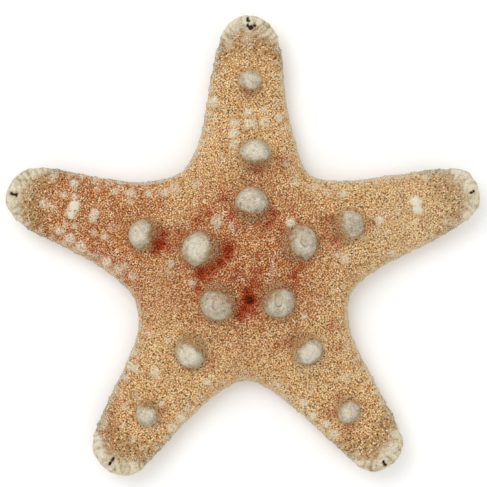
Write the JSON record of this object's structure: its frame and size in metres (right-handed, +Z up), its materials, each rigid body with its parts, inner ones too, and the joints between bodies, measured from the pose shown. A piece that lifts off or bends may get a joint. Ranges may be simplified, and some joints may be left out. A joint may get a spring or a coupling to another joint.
{
  "type": "dried starfish",
  "caption": "Dried knobbly starfish with broad tapering arms, blunt pale knobs along the back and upturned tips, lying on its flat underside as a decoration.",
  "frame": {"origin": "under the middle of the outline's box, on the plane that the flat underside rests on", "axes": "+Z up, out of the knobbly back; +Y along the arm that is uppermost in the picture; +X to the picture's right"},
  "size_m": [0.1606, 0.1561, 0.0264],
  "materials": {
    "skin": "matte"
  },
  "bodies": {
    "root": {"starfish": "skin"}
  },
  "joints": []
}
